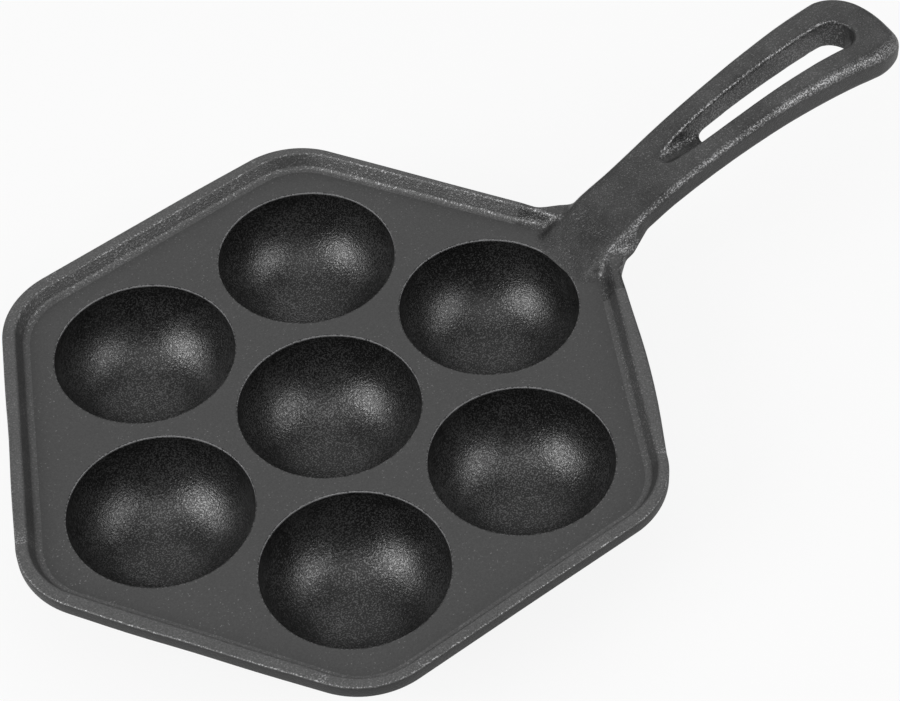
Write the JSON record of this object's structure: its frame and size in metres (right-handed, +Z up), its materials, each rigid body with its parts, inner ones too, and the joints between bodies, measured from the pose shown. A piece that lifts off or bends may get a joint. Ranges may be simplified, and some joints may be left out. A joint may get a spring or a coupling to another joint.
{
  "type": "aebleskiver pan",
  "caption": "Six-sided cast-iron pan with round cups sunk in a flat deck, a low rim and a slotted handle, for baking round filled pancakes on a stovetop.",
  "frame": {"origin": "on the resting plane, on the axis of the middle cup", "axes": "+Z up out of the cups, +X along the handle from the deck to the tip, +Y to the left of the handle"},
  "size_m": [0.3455, 0.2008, 0.0593],
  "materials": {
    "deck_iron": "fine matte, seasoned dark grey",
    "cup_iron": "grainy satin, seasoned dark grey",
    "rim_iron": "matte with worn bright edges",
    "handle_iron": "coarse sand-cast grain, matte"
  },
  "bodies": {
    "root": {"deck_plate": "deck_iron", "cup_middle": "cup_iron", "cup_1": "cup_iron", "cup_2": "cup_iron", "cup_3": "cup_iron", "cup_4": "cup_iron", "cup_5": "cup_iron", "cup_6": "cup_iron", "rim_side_1": "rim_iron", "rim_side_2": "rim_iron", "rim_side_3": "rim_iron", "rim_side_4": "rim_iron", "rim_side_5": "rim_iron", "rim_side_6": "rim_iron", "rim_corner_2": "rim_iron", "rim_corner_3": "rim_iron", "rim_corner_4": "rim_iron", "rim_corner_5": "rim_iron", "rim_corner_6": "rim_iron", "handle_root": "handle_iron", "handle_shank": "handle_iron", "handle_rail_left": "handle_iron", "handle_rail_right": "handle_iron", "handle_tip": "handle_iron"}
  },
  "joints": []
}
